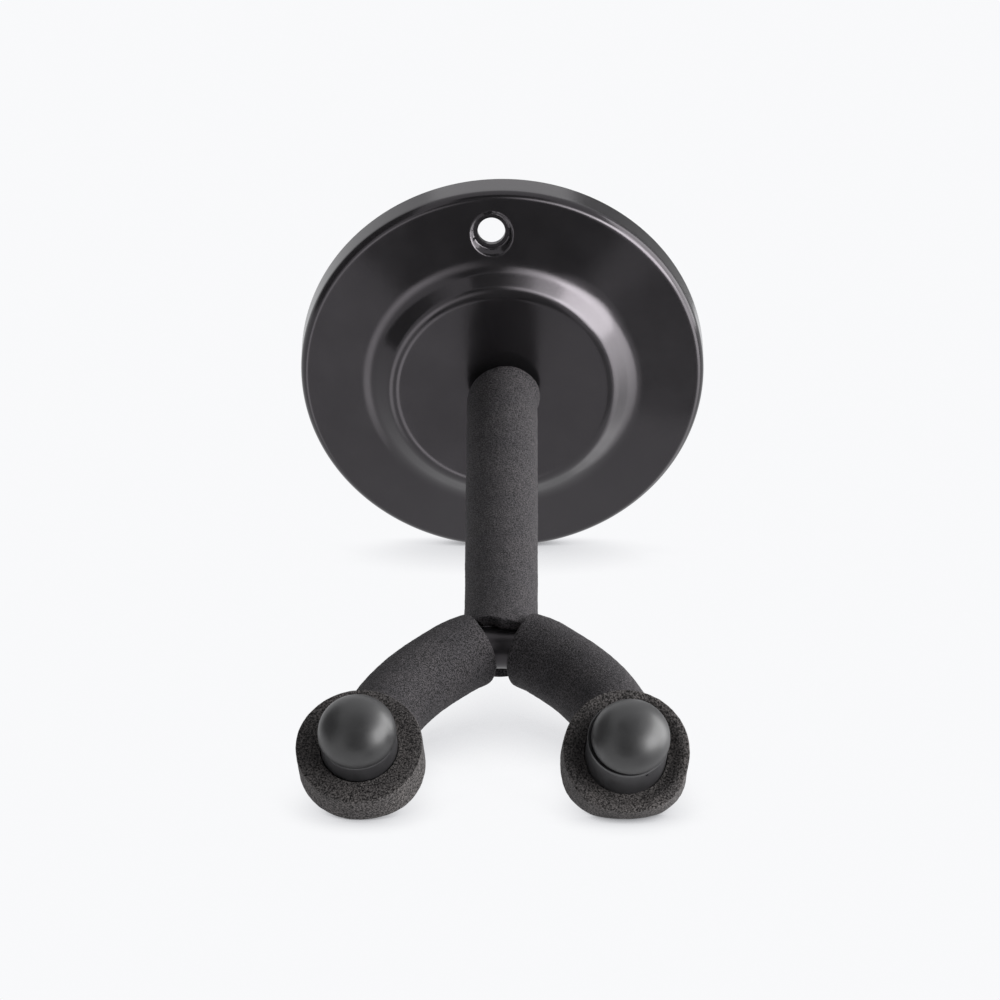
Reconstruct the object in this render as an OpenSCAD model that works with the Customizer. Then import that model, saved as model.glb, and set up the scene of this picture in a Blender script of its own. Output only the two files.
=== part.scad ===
// Wall guitar hanger: a pressed round base plate, a rod arm bolted through its middle,
// and a bent rod yoke with foam sleeves, foam discs and domed end caps.
// The wall is the plane y = 0. The arm points along -Y, and +Z is up.

/* [Base plate] */
// Outer diameter of the round base plate, mm
plate_d = 100; // [90:1:120]
// Depth of the plate's rim, from the wall to the front of its bend, mm
plate_depth = 8.5; // [8:0.5:10]
// Thickness of the steel sheet, mm
sheet_t = 1.2; // [1:0.1:1.5]
// Outside radius of the bend between rim and face, mm
rim_bend_r = 2.5; // [2:0.1:3]
// Slope of the conical face between the rim and the boss, degrees
face_slope = 16; // [12:1:18]
// Diameter of the boss where it leaves the face, mm
boss_foot_d = 70.4; // [70:0.1:72]
// Diameter of the flat top of the boss, mm
boss_top_d = 50.4; // [48:0.1:52]
// Steepest slope of the boss's side, degrees
boss_slope = 40; // [38:1:42]
// Radius of the bend at the foot of the boss, mm
foot_bend_r = 11.4; // [11:0.1:12]
// Outside radius of the bend at the top of the boss, mm
top_bend_r = 5.5; // [5:0.1:6]

/* [Wall screws] */
// Number of screw holes, evenly spaced round the plate
screw_count = 2; // [2:1:4]
// Diameter of the circle through the screw holes, mm
screw_circle_d = 81.2; // [80:0.1:82]
// Diameter of each screw hole, mm
screw_hole_d = 6.8; // [5:0.1:8]
// Diameter of the flat floor of the pressed dimple round each hole, mm
dimple_d = 9.2; // [8.8:0.1:10]
// Distance of the dimple's floor from the wall, mm
dimple_floor = 9; // [8.8:0.1:9.4]
// Turn of the plate about the arm, away from holes straight above and below, degrees
plate_turn = 3.8; // [0:0.1:15]

/* [Arm] */
// Diameter of the steel rod of the arm and the yoke, mm
rod_d = 10; // [8:0.5:11]
// Distance from the wall to the middle of the yoke rod, mm
arm_reach = 145.5; // [120:0.5:160]
// Diameter of the threaded spigot at the arm's wall end, mm
spigot_d = 8; // [6:1:8]
// Distance from the wall to the end of the spigot, mm
spigot_end = 2.5; // [2:0.1:3]

/* [Yoke] */
// Centreline radius of the bend at the middle of the yoke, mm
crotch_r = 14; // [12:0.5:16]
// Length of the straight stretch after that bend, mm
leg_run = 6.5; // [5:0.5:8]
// Length of the straight stretch before the tip's bend, mm
toe_run = 2; // [1:0.5:4]
// Centreline radius of the upward bend at each tip, mm
tip_r = 14; // [13:0.5:16]
// Length of each straight tip, from its bend to the foam disc's front face, mm
tip_run = 10; // [9.5:0.5:12]

/* [Foam] */
// Outer diameter of the foam sleeves, mm
sleeve_d = 17.5; // [15:0.1:18]
// Gap between the base plate's boss and the arm's sleeve, mm
sleeve_gap = 3.4; // [1:0.1:5]
// Diameter of the foam discs behind the caps, mm
disc_d = 29.4; // [26:0.2:32]
// Thickness of the foam discs, mm
disc_t = 9; // [7:0.5:9]

/* [Caps] */
// Diameter of the end caps, mm
cap_d = 18.6; // [17:0.1:20]
// Length of the straight side of a cap, mm
cap_side = 10; // [8:0.5:12]
// Height of a cap's domed end above its side, mm
cap_dome = 7.5; // [4:0.5:8]

/* [Hidden] */
$fn = 96;

// Small working gaps
foam_gap = 0.05;
turning_gap = 0.05;
parting_gap = 0.1;

// Left and right prongs of the yoke. Each is bent by hand, so the two differ by a few degrees.
LEFT = 0;
RIGHT = 1;
crotch_angle = [51, 52];
leg_r = [74, 67];
leg_angle = [35.5, 39];
tip_rise = [57.5, 54];
sleeve_start = [18, 24];
cap_sink = [4.4, 3.8];
dish_depth = [0.8, 3.4];

rod_r = rod_d / 2;
sleeve_r = sleeve_d / 2;
foam_bore_r = rod_r + foam_gap;
disc_r = disc_d / 2;
cap_r = cap_d / 2;

// Width of the rim left round the dish that a cap presses into its foam disc
dish_rim = 2.2;

plate_r = plate_d / 2;
boss_foot_r = boss_foot_d / 2;
boss_top_r = boss_top_d / 2;
spigot_bore_r = spigot_d / 2 + turning_gap;

// The plate's section, as [radius, distance from the wall]: a bend at the rim, a conical face,
// a bend into the boss's conical side and a bend into its flat top
rim_centre = [plate_r - rim_bend_r, plate_depth - rim_bend_r];
face_start = rim_centre + rim_bend_r * [sin(face_slope), cos(face_slope)];
foot_depth = face_start[1] + (face_start[0] - boss_foot_r) * tan(face_slope);
foot_centre = [boss_foot_r, foot_depth] + foot_bend_r * [sin(face_slope), cos(face_slope)];
side_start = foot_centre - foot_bend_r * [sin(boss_slope), cos(boss_slope)];
side_end_r = boss_top_r + top_bend_r * sin(boss_slope);
boss_depth = side_start[1] + (side_start[0] - side_end_r) * tan(boss_slope)
    + top_bend_r * (1 - cos(boss_slope));
top_centre = [boss_top_r, boss_depth - top_bend_r];
boss_inside = boss_depth - sheet_t;

// Screw holes and dimples
screw_circle_r = screw_circle_d / 2;
dimple_r = dimple_d / 2;
dimple_height = 5;
dimple_spread = 2.5;

// Fastening behind the boss, from the boss towards the wall
backing_r = 20;
backing_t = 3;
washer_r = 8;
washer_t = 1.6;
nut_across_flats = 13;
nut_t = 8;
nut_bevel = 1;
backing_back = boss_inside - backing_t;
washer_front = backing_back - turning_gap;
washer_back = washer_front - washer_t;
nut_back = washer_back - nut_t;

// Weld between arm and yoke
weld_small_r = 5.9;
weld_large_r = 6.8;
weld_start = arm_reach - rod_r - 3;
weld_end = arm_reach - rod_r + 3;

// Arm sleeve: its end fits over the weld between the two prong sleeves
sleeve_back = boss_depth + sleeve_gap;
sleeve_open = arm_reach - 9;
sleeve_front = arm_reach + 2.5;
sleeve_open_r = weld_large_r + foam_gap;

// Caps and the rod ends inside them
cap_bore_depth = 8;
cap_lip = 0.6;
cap_lip_r = 0.35;

// Corners round a bent rod or sleeve, and steps along each of its bends
sides = 20;
crotch_steps = 6;
leg_steps = 7;
tip_steps = 6;

big = 60;

// Points on an arc, from angle a0 to a1
function arc(centre, r, a0, a1, steps) =
    [for (i = [0 : steps])
        let (a = a0 + (a1 - a0) * i / steps) centre + r * [cos(a), sin(a)]];

// The sheet's section, moved inwards by inset, from the wall edge to the bore in the boss
function sheet_side(inset) =
    concat(
        [[plate_r - inset, 0]],
        arc(rim_centre, rim_bend_r - inset, 0, 90 - face_slope, 12),
        arc(foot_centre, foot_bend_r + inset, -90 - face_slope, -90 - boss_slope, 8),
        arc(top_centre, top_bend_r - inset, 90 - boss_slope, 90, 8),
        [[spigot_bore_r, boss_depth - inset]]);

function reversed(list) = [for (i = [len(list) - 1 : -1 : 0]) list[i]];

// Turns a shape that stands on the wall plane along +Z so that it stands out along -Y
module out_from_wall(distance = 0) {
    translate([0, -distance, 0])
        rotate([90, 0, 0])
            children();
}

module ring(outer_r, inner_r, length) {
    difference() {
        cylinder(r = outer_r, h = length);
        translate([0, 0, -1])
            cylinder(r = inner_r, h = length + 2);
    }
}

module each_screw() {
    for (i = [0 : screw_count - 1])
        rotate([0, 0, plate_turn + i * 360 / screw_count])
            translate([0, screw_circle_r, 0])
                children();
}

// Bent rod work. A frame is a 4 x 4 matrix: a run starts at its origin and heads along its +Y,
// and a bend turns it towards its +X.
function moved(v) = [[1, 0, 0, v[0]], [0, 1, 0, v[1]], [0, 0, 1, v[2]], [0, 0, 0, 1]];
function turned(a) = [[cos(a), sin(a), 0, 0], [-sin(a), cos(a), 0, 0], [0, 0, 1, 0], [0, 0, 0, 1]];
function after_bend(bend_r, a) = moved([bend_r * (1 - cos(a)), bend_r * sin(a), 0]) * turned(a);
function after_run(length) = moved([0, length, 0]);

// A quarter roll about the heading, so that the next bend turns upwards, and its inverse
ROLL = [[0, 0, -1, 0], [0, 1, 0, 0], [1, 0, 0, 0], [0, 0, 0, 1]];
UNROLL = [[0, 0, 1, 0], [0, 1, 0, 0], [-1, 0, 0, 0], [0, 0, 0, 1]];

// Frames along a prong. Both prongs are worked out on the right, and the left one is mirrored.
crotch = moved([0, -arm_reach, 0]) * turned(90);
function leg_start(side) = crotch * after_bend(crotch_r, crotch_angle[side]) * after_run(leg_run);
function toe_end(side) =
    leg_start(side) * after_bend(leg_r[side], leg_angle[side]) * after_run(toe_run);
function tip_start(side) = toe_end(side) * ROLL * after_bend(tip_r, tip_rise[side]);

function stations(side, start_angle, tip_length) =
    concat(
        [for (i = [0 : crotch_steps])
            let (a = start_angle + (crotch_angle[side] - start_angle) * i / crotch_steps)
                crotch * after_bend(crotch_r, a)],
        [for (i = [0 : leg_steps])
            leg_start(side) * after_bend(leg_r[side], leg_angle[side] * i / leg_steps)],
        [for (i = [0 : tip_steps])
            toe_end(side) * ROLL * after_bend(tip_r, tip_rise[side] * i / tip_steps) * UNROLL],
        [tip_start(side) * after_run(tip_length) * UNROLL]);

// A round section's corners, in world coordinates
function ring_points(frame, r) =
    [for (k = [0 : sides - 1])
        let (a = k * 360 / sides, p = frame * [r * cos(a), 0, r * sin(a), 1])
            [p[0], p[1], p[2]]];

function mirrored(points) = [for (p = points) [-p[0], p[1], p[2]]];

// Faces between two rings of corners, numbered from their first corners
function band(from, to) =
    [for (k = [0 : sides - 1])
        let (next = (k + 1) % sides)
            [from + k, to + k, to + next, from + next]];

function joined(lists) = [for (list = lists) for (item = list) item];

// A solid rod through rings of corners
module rod_through(rings) {
    count = len(rings);
    polyhedron(
        points = joined(rings),
        faces = concat(
            joined([for (i = [0 : count - 2]) band(i * sides, (i + 1) * sides)]),
            [[for (k = [0 : sides - 1]) k]],
            [[for (k = [sides - 1 : -1 : 0]) (count - 1) * sides + k]]),
        convexity = 6);
}

// A tube with open ends through a list of frames
module tube_through(frames, outer_r, inner_r) {
    count = len(frames);
    inside = count * sides;
    polyhedron(
        points = concat(
            joined([for (frame = frames) ring_points(frame, outer_r)]),
            joined([for (frame = frames) ring_points(frame, inner_r)])),
        faces = concat(
            joined([for (i = [0 : count - 2]) band(i * sides, (i + 1) * sides)]),
            joined([for (i = [0 : count - 2])
                band(inside + (i + 1) * sides, inside + i * sides)]),
            band(inside, 0),
            band((count - 1) * sides, inside + (count - 1) * sides)),
        convexity = 6);
}

function rod_stations(side) = stations(side, 0, tip_run + cap_bore_depth - cap_sink[side]);

module on_side(side) {
    mirror([side == LEFT ? 1 : 0, 0, 0])
        children();
}

// A foam disc's front face, with the tip's axis along +Z
module on_tip(side) {
    on_side(side)
        multmatrix(tip_start(side) * after_run(tip_run))
            rotate([-90, 0, 0])
                children();
}

// Everything on a prong's side of the plane where its sleeve starts
module past_sleeve_start(side) {
    on_side(side)
        multmatrix(crotch * after_bend(crotch_r, sleeve_start[side]))
            translate([-big / 2, -parting_gap, -big / 2])
                cube(big);
}

// A dimple's inside, or its outside with the sheet's thickness as wall
module dimple_cone(wall) {
    translate([0, 0, dimple_floor])
        cylinder(r1 = dimple_r + wall, r2 = dimple_r + dimple_spread + wall, h = dimple_height);
}

module base_plate() {
    color([0.05, 0.05, 0.06])
        out_from_wall()
            difference() {
                union() {
                    rotate_extrude()
                        polygon(concat(sheet_side(0), reversed(sheet_side(sheet_t))));
                    intersection() {
                        each_screw()
                            translate([0, 0, -sheet_t])
                                dimple_cone(sheet_t);
                        rotate_extrude()
                            polygon(concat(sheet_side(0), [[spigot_bore_r, 0]]));
                    }
                }
                each_screw() {
                    dimple_cone(0);
                    cylinder(r = screw_hole_d / 2, h = dimple_floor + 1);
                }
            }
}

module backing_disc() {
    color([0.35, 0.35, 0.36])
        out_from_wall(backing_back)
            ring(backing_r, spigot_bore_r, backing_t);
}

module flat_washer() {
    color([0.75, 0.75, 0.77])
        out_from_wall(washer_back)
            ring(washer_r, spigot_bore_r, washer_t);
}

module lock_nut() {
    color([0.75, 0.75, 0.77])
        out_from_wall(nut_back)
            difference() {
                intersection() {
                    cylinder(d = nut_across_flats / cos(30), h = nut_t, $fn = 6);
                    union() {
                        cylinder(r1 = nut_across_flats / 2, r2 = nut_across_flats / 2 + nut_bevel,
                                 h = nut_bevel);
                        translate([0, 0, nut_bevel])
                            cylinder(r = nut_across_flats / 2 + nut_bevel, h = nut_t - nut_bevel);
                    }
                }
                translate([0, 0, -1])
                    cylinder(r = spigot_bore_r, h = nut_t + 2);
            }
}

module arm_rod() {
    color([0.05, 0.05, 0.06]) {
        out_from_wall(boss_depth + turning_gap)
            cylinder(r = rod_r, h = arm_reach - rod_r - boss_depth - turning_gap);
        out_from_wall(spigot_end)
            cylinder(r = spigot_d / 2, h = boss_depth + turning_gap - spigot_end);
    }
}

module yoke_rod() {
    color([0.05, 0.05, 0.06])
        rod_through(concat(
            reversed([for (frame = rod_stations(LEFT)) mirrored(ring_points(frame, rod_r))]),
            [for (i = [1 : len(rod_stations(RIGHT)) - 1])
                ring_points(rod_stations(RIGHT)[i], rod_r)]));
}

// The yoke rod's middle bend carried on into a full ring, with a working gap round it
module around_crotch() {
    translate([0, -arm_reach - crotch_r, 0])
        rotate_extrude()
            translate([crotch_r, 0])
                circle(r = rod_r + foam_gap);
}

module yoke_weld() {
    color([0.08, 0.08, 0.09])
        difference() {
            out_from_wall(weld_start)
                difference() {
                    cylinder(r1 = weld_small_r, r2 = weld_large_r, h = weld_end - weld_start);
                    translate([0, 0, -1])
                        cylinder(r = rod_r, h = arm_reach - rod_r - weld_start + 1);
                }
            around_crotch();
            past_sleeve_start(LEFT);
            past_sleeve_start(RIGHT);
        }
}

module arm_sleeve() {
    color([0.22, 0.22, 0.22])
        difference() {
            union() {
                out_from_wall(sleeve_back)
                    ring(sleeve_r, foam_bore_r, sleeve_open - sleeve_back);
                out_from_wall(sleeve_open)
                    ring(sleeve_r, sleeve_open_r, sleeve_front - sleeve_open);
            }
            around_crotch();
            past_sleeve_start(LEFT);
            past_sleeve_start(RIGHT);
        }
}

module prong_sleeve(side) {
    color([0.22, 0.22, 0.22])
        on_side(side)
            tube_through(stations(side, sleeve_start[side], tip_run - disc_t - parting_gap),
                         sleeve_r, foam_bore_r);
}

module foam_disc(side) {
    color([0.2, 0.2, 0.19])
        on_tip(side)
            difference() {
                translate([0, 0, -disc_t])
                    ring(disc_r, foam_bore_r, disc_t);
                translate([0, 0, -cap_sink[side] - foam_gap])
                    cylinder(r = cap_r + foam_gap, h = cap_sink[side] + 1);
                translate([0, 0, -dish_depth[side]])
                    cylinder(r1 = cap_r + foam_gap, r2 = disc_r - dish_rim, h = dish_depth[side]);
            }
}

module end_cap(side) {
    color([0.12, 0.12, 0.13])
        on_tip(side)
            translate([0, 0, -cap_sink[side]])
                difference() {
                    union() {
                        cylinder(r = cap_r, h = cap_side - cap_lip);
                        translate([0, 0, cap_side - cap_lip])
                            cylinder(r = cap_r - cap_lip_r, h = cap_lip);
                        translate([0, 0, cap_side])
                            rotate_extrude()
                                cap_dome_section();
                    }
                    translate([0, 0, -1])
                        cylinder(r = foam_bore_r, h = cap_bore_depth + foam_gap + 1);
                }
}

// Half of the dome's section: one arc over the whole cap
module cap_dome_section() {
    dome_r = (cap_r * cap_r + cap_dome * cap_dome) / (2 * cap_dome);
    intersection() {
        translate([0, cap_dome - dome_r])
            circle(r = dome_r);
        square([cap_r, cap_dome]);
    }
}

base_plate();
backing_disc();
flat_washer();
lock_nut();
arm_rod();
yoke_weld();
yoke_rod();
arm_sleeve();
prong_sleeve(LEFT);  // left_prong_sleeve
prong_sleeve(RIGHT);  // right_prong_sleeve
foam_disc(LEFT);  // left_foam_disc
foam_disc(RIGHT);  // right_foam_disc
end_cap(LEFT);  // left_end_cap
end_cap(RIGHT);  // right_end_cap
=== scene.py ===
import math
from math import cos, pi, radians, sin

import bpy
import bmesh
import numpy as np
from mathutils import Matrix, Vector, noise


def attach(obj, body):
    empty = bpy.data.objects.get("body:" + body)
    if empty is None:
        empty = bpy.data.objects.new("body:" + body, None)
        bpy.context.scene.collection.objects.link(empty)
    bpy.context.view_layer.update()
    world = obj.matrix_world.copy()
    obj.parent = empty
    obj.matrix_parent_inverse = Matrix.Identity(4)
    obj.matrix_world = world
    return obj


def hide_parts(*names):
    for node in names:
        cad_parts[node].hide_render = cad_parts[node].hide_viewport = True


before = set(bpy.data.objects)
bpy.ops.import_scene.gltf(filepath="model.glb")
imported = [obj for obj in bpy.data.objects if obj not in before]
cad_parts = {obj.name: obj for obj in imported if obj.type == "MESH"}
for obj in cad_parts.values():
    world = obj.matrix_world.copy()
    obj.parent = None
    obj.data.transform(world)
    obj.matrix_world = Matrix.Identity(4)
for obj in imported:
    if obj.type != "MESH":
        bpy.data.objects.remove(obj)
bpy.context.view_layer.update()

MM = 0.001
LEFT, RIGHT = 0, 1
SIDES = ("left", "right")

# -------- sizes, in millimetres
# Base plate: a bend at the rim, a conical face, and bends into and out of the boss's side
PLATE_R = 50.0
PLATE_DEPTH = 8.5
SHEET_T = 1.2
RIM_BEND_R = 2.5
FACE_SLOPE = radians(16.0)
BOSS_FOOT_R = 35.2
BOSS_TOP_R = 25.2
BOSS_SLOPE = radians(40.0)
FOOT_BEND_R = 11.4
TOP_BEND_R = 5.5
BORE_R = 4.05
SCREW_CIRCLE_R = 40.6
SCREW_HOLE_R = 3.4
DIMPLE_R = 4.6
DIMPLE_FLOOR = 9.6
DIMPLE_TILT = radians(9.0)
DIMPLE_WALL = 1.8
DIMPLE_BLEND = 0.6
PLATE_TURN = 3.8

# Arm and yoke
ROD_R = 5.0
SPIGOT_R = 4.0
SPIGOT_END = 2.5
ARM_REACH = 145.5
CROTCH_R = 14.0
LEG_RUN = 6.5
TOE_RUN = 2.0
TIP_R = 14.0
TIP_RUN = 10.0
CROTCH_ANGLE = (51.0, 52.0)
LEG_R = (74.0, 67.0)
LEG_ANGLE = (35.5, 39.0)
TIP_RISE = (57.5, 54.0)

# Washer and nut behind the boss
BACKING_T = 3.0
WASHER_T = 1.6
TURNING_GAP = 0.05
NUT_FLATS = 13.0
NUT_T = 8.0

# Foam
SLEEVE_R = 8.75
PRONG_SLEEVE_R = (8.9, 9.1)
SLEEVE_BORE_R = 5.05
SLEEVE_START = (18.0, 24.0)
SLEEVE_GAP = 3.4
SLEEVE_FRONT = ARM_REACH + 1.2
SLEEVE_LEFT_BACK = 2.4
LEFT_MITRE = 1.6
SLEEVE_LOW_FRONT = ARM_REACH - 1.0
SLEEVE_SUNK = 1.2
WELD_R = 6.8
DISC_R = 14.7
DISC_T = 9.0
DISH_DEPTH = (0.5, 2.1)
# How the foam discs and the caps lean outwards and nod forwards on the tips, degrees
DISC_LEAN = (2.5, 5.0)
DISC_NOD = (0.0, 9.0)
DISC_LIFT = (-0.3, -0.1)
DISC_OUT = (0.2, 0.3)
CAP_LEAN = (2.0, 4.0)

# Caps
CAP_R = (8.95, 9.45)
DOME_R = (9.15, 9.15)
DOME_SHIFT = (0.0, 0.5)
CAP_SIDE = (10.0, 11.0)
CAP_DOME = (8.0, 7.6)
CAP_SINK = (4.4, 3.8)
DOME_POWER = 2.2


def plate_section():
    """Centres of the three bends as (radius, distance from the wall), and the boss's depth."""
    rim = np.array((PLATE_R - RIM_BEND_R, PLATE_DEPTH - RIM_BEND_R))
    face = rim + RIM_BEND_R * np.array((sin(FACE_SLOPE), cos(FACE_SLOPE)))
    foot_depth = face[1] + (face[0] - BOSS_FOOT_R) * math.tan(FACE_SLOPE)
    foot = np.array((BOSS_FOOT_R, foot_depth)) + FOOT_BEND_R * np.array(
        (sin(FACE_SLOPE), cos(FACE_SLOPE)))
    side = foot - FOOT_BEND_R * np.array((sin(BOSS_SLOPE), cos(BOSS_SLOPE)))
    side_end_r = BOSS_TOP_R + TOP_BEND_R * sin(BOSS_SLOPE)
    depth = (side[1] + (side[0] - side_end_r) * math.tan(BOSS_SLOPE)
             + TOP_BEND_R * (1 - cos(BOSS_SLOPE)))
    return rim, foot, np.array((BOSS_TOP_R, depth - TOP_BEND_R)), depth


RIM_CENTRE, FOOT_CENTRE, TOP_CENTRE, BOSS_DEPTH = plate_section()
WASHER_BACK = BOSS_DEPTH - SHEET_T - BACKING_T - TURNING_GAP - WASHER_T
NUT_BACK = WASHER_BACK - NUT_T


# -------- camera, world and lights
CAMERA_ELEVATION = radians(29.0)
CAMERA_AZIMUTH = radians(0.14)
CAMERA_DISTANCE = 2.7487
CAMERA_LENS = 397.5
SENSOR_WIDTH = 36.0
CLIP_START, CLIP_END = 0.05, 50.0
# Where the camera looks, from the plate's centre: to the right and up in the picture, in metres
LOOK_RIGHT = -0.0006
LOOK_UP = -0.03551


def new_object(name, data):
    made = bpy.data.objects.new(name, data)
    bpy.context.scene.collection.objects.link(made)
    return made


def add_camera():
    away = Vector((sin(CAMERA_AZIMUTH) * cos(CAMERA_ELEVATION),
                   -cos(CAMERA_AZIMUTH) * cos(CAMERA_ELEVATION),
                   sin(CAMERA_ELEVATION)))
    right = Vector((cos(CAMERA_AZIMUTH), sin(CAMERA_AZIMUTH), 0.0))
    up = away.cross(right)
    target = right * LOOK_RIGHT + up * LOOK_UP
    data = bpy.data.cameras.new("camera")
    data.lens = CAMERA_LENS
    data.sensor_width = SENSOR_WIDTH
    data.clip_start = CLIP_START
    data.clip_end = CLIP_END
    camera = new_object("camera", data)
    camera.matrix_world = Matrix.Translation(target + away * CAMERA_DISTANCE) @ Matrix(
        (right, up, away)).transposed().to_4x4()
    bpy.context.scene.camera = camera


def towards(azimuth, elevation):
    """A direction from the object, azimuth 0 to the front and 90 to the right, in degrees."""
    a, e = radians(azimuth), radians(elevation)
    return Vector((sin(a) * cos(e), -cos(a) * cos(e), sin(e)))


# What the lights face, how far away they stand, in metres, and the colour of the world
SUBJECT = Vector((0.0, -0.06, 0.0))
LIGHT_DISTANCE = 1.2
SURROUNDINGS = (0.945, 0.949, 0.962)


def face_subject(thing, azimuth, elevation, distance):
    away = towards(azimuth, elevation)
    thing.location = SUBJECT + away * distance
    thing.rotation_euler = (-away).to_track_quat("-Z", "Y").to_euler()
    thing.visible_camera = False


# What the gloss cards light
PLATE_ONLY = bpy.data.collections.new("plate_only")


def add_softbox(name, azimuth, elevation, wide, high, radiance, gloss_card=False):
    """A softbox that faces the object. wide and high are the angles it fills, in degrees, and
    its brightness is in multiples of plain white. A gloss card only shows in the plate's gloss."""
    data = bpy.data.lights.new(name, "AREA")
    data.shape = "RECTANGLE"
    data.size = 2 * LIGHT_DISTANCE * math.tan(radians(wide / 2))
    data.size_y = 2 * LIGHT_DISTANCE * math.tan(radians(high / 2))
    data.energy = radiance * pi * data.size * data.size_y
    light = new_object(name, data)
    face_subject(light, azimuth, elevation, LIGHT_DISTANCE)
    if gloss_card:
        light.visible_diffuse = False
        light.light_linking.receiver_collection = PLATE_ONLY


def plane_mesh(name, wide, high):
    """A flat rectangle, from half its width and half its height."""
    mesh = bpy.data.meshes.new(name)
    corners = [(-wide, -high, 0), (wide, -high, 0), (wide, high, 0), (-wide, high, 0)]
    mesh.from_pydata(corners, [], [(0, 1, 2, 3)])
    return mesh


def add_flag(name, azimuth, elevation, distance, width, height, material):
    """A flat dark flag, out of the camera's sight, that hides some of the pale surroundings from
    the object. Its distance, width and height are in metres."""
    flag = new_object(name, plane_mesh(name, width / 2, height / 2))
    flag.data.materials.append(material)
    face_subject(flag, azimuth, elevation, distance)
    flag.visible_shadow = False
    return flag


def add_world():
    world = bpy.data.worlds.new("studio")
    bpy.context.scene.world = world
    world.use_nodes = True
    background = world.node_tree.nodes["Background"]
    background.inputs["Color"].default_value = (*SURROUNDINGS, 1.0)
    background.inputs["Strength"].default_value = 1.0


# Softboxes: name, azimuth, elevation, width and height in degrees, and brightness. The one behind
# the object only shows in the gloss of the plate's rim.
SOFTBOXES = (
    ("key", 57.0, 20.0, 34.0, 34.0, 6.5),
    ("right_side", 99.0, 16.0, 42.0, 56.0, 4.2),
    ("rim_card", 180.0, 29.0, 36.0, 24.0, 0.6, True),
)
# Strips of gloss cards: azimuth, elevation and brightness
RIGHT_STRIP = ((20.0, 45.0, 2.6), (31.0, 40.0, 3.4), (42.0, 33.0, 4.6), (51.0, 24.0, 5.0),
               (58.0, 14.0, 5.0), (63.0, 3.0, 4.6), (67.0, -8.0, 3.8), (69.0, -19.0, 2.6),
               (70.0, -30.0, 1.6), (76.0, -41.0, 0.9), (90.0, -51.0, 0.8), (110.0, -58.0, 0.8))
LEFT_STRIP = ((-17.0, 24.0, 0.8), (-25.0, 17.0, 1.1), (-33.0, 9.0, 1.1), (-40.0, 0.0, 1.1),
              (-46.0, -10.0, 1.1), (-51.0, -21.0, 1.1), (-55.0, -32.0, 1.1), (-60.0, -43.0, 0.9))
STRIP_CARDS = (("right_card", RIGHT_STRIP, 26.0, 17.0), ("left_card", LEFT_STRIP, 16.0, 18.0))
# Cards for the bend at the top of the boss: its slope there, in degrees, how far round the plate
# they show, clockwise from the top, and their size and brightness
INNER_SLOPE = 9.0
INNER_TURNS = (-50.0, -70.0, -90.0, -110.0, -130.0, -150.0, -170.0)
INNER_SIZE = 13.0
INNER_RADIANCE = 1.0
# How pale the flags' cloths are, and the flags: name, azimuth, elevation, distance, width, height
# and cloth
CLOTHS = {"black": 0.16, "grey": 0.40}
FLAGS = (
    ("top_flag", 0.0, 84.0, 0.9, 1.7, 1.5, "black"),
    ("front_flag", -2.0, 20.0, 1.4, 1.3, 1.5, "black"),
    ("left_flag", -95.0, 24.0, 0.9, 1.25, 1.0, "black"),
    ("overhead_gloss_flag", 0.0, 66.0, 1.4, 1.0, 0.75, "black"),
    ("low_right_flag", 32.0, -22.0, 1.4, 0.5, 0.75, "grey"),
    ("rear_right_flag", 152.0, 0.0, 1.0, 0.5, 0.75, "grey"),
)


def plate_reflection(slope, turn):
    """The azimuth and elevation that the camera sees reflected where the plate slopes outwards by
    slope and faces turn, in degrees."""
    facing = radians(slope), radians(turn)
    normal = Vector((sin(facing[0]) * sin(facing[1]), -cos(facing[0]),
                     sin(facing[0]) * cos(facing[1])))
    view = towards(0.0, math.degrees(CAMERA_ELEVATION))
    mirrored = 2 * normal.dot(view) * normal - view
    return math.degrees(math.atan2(mirrored.x, -mirrored.y)), math.degrees(math.asin(mirrored.z))


def filled(strip):
    """The strip's cards and one between each two, all at half the brightness."""
    middles = [tuple((a + b) / 2 for a, b in zip(*pair)) for pair in zip(strip, strip[1:])]
    return [(azimuth, elevation, radiance / 2)
            for azimuth, elevation, radiance in list(strip) + middles]


def flag_cloth(name, tone):
    material, _, shader = new_material(name)
    shader.inputs["Base Color"].default_value = (tone, tone, tone, 1.0)
    shader.inputs["Roughness"].default_value = 0.9
    shader.inputs["Specular IOR Level"].default_value = 0.1
    return material


def add_lights():
    for softbox in SOFTBOXES:
        add_softbox(*softbox)
    for name, strip, wide, high in STRIP_CARDS:
        for azimuth, elevation, radiance in filled(strip):
            add_softbox(name, azimuth, elevation, wide, high, radiance, True)
    for turn in INNER_TURNS:
        add_softbox("inner_card", *plate_reflection(INNER_SLOPE, turn), INNER_SIZE, INNER_SIZE,
                    INNER_RADIANCE, True)
    cloths = {name: flag_cloth(f"{name}_cloth", tone) for name, tone in CLOTHS.items()}
    flags = {name: add_flag(name, *place, cloths[cloth]) for name, *place, cloth in FLAGS}
    flags["top_flag"].visible_glossy = False
    flags["overhead_gloss_flag"].visible_diffuse = False


# -------- meshes
def new_piece(name, coords, faces, material, replaces=(), weld=False):
    """A closed piece that rides on the arm. Points at one place are joined if weld is set."""
    mesh = bpy.data.meshes.new(name)
    mesh.from_pydata([tuple(c) for c in coords], [], [tuple(int(i) for i in f) for f in faces])
    mesh.update()
    piece = new_object(name, mesh)
    finish_piece(piece, "arm", material, replaces)
    orient_outwards(mesh, weld)
    return piece


def finish_piece(piece, body, material, replaces=()):
    mesh = piece.data
    mesh.materials.clear()
    mesh.materials.append(material)
    mesh.polygons.foreach_set("use_smooth", [True] * len(mesh.polygons))
    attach(piece, body)
    if replaces:
        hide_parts(*replaces)


def sharpen(piece, degrees):
    piece.data.set_sharp_from_angle(angle=radians(degrees))


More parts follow.
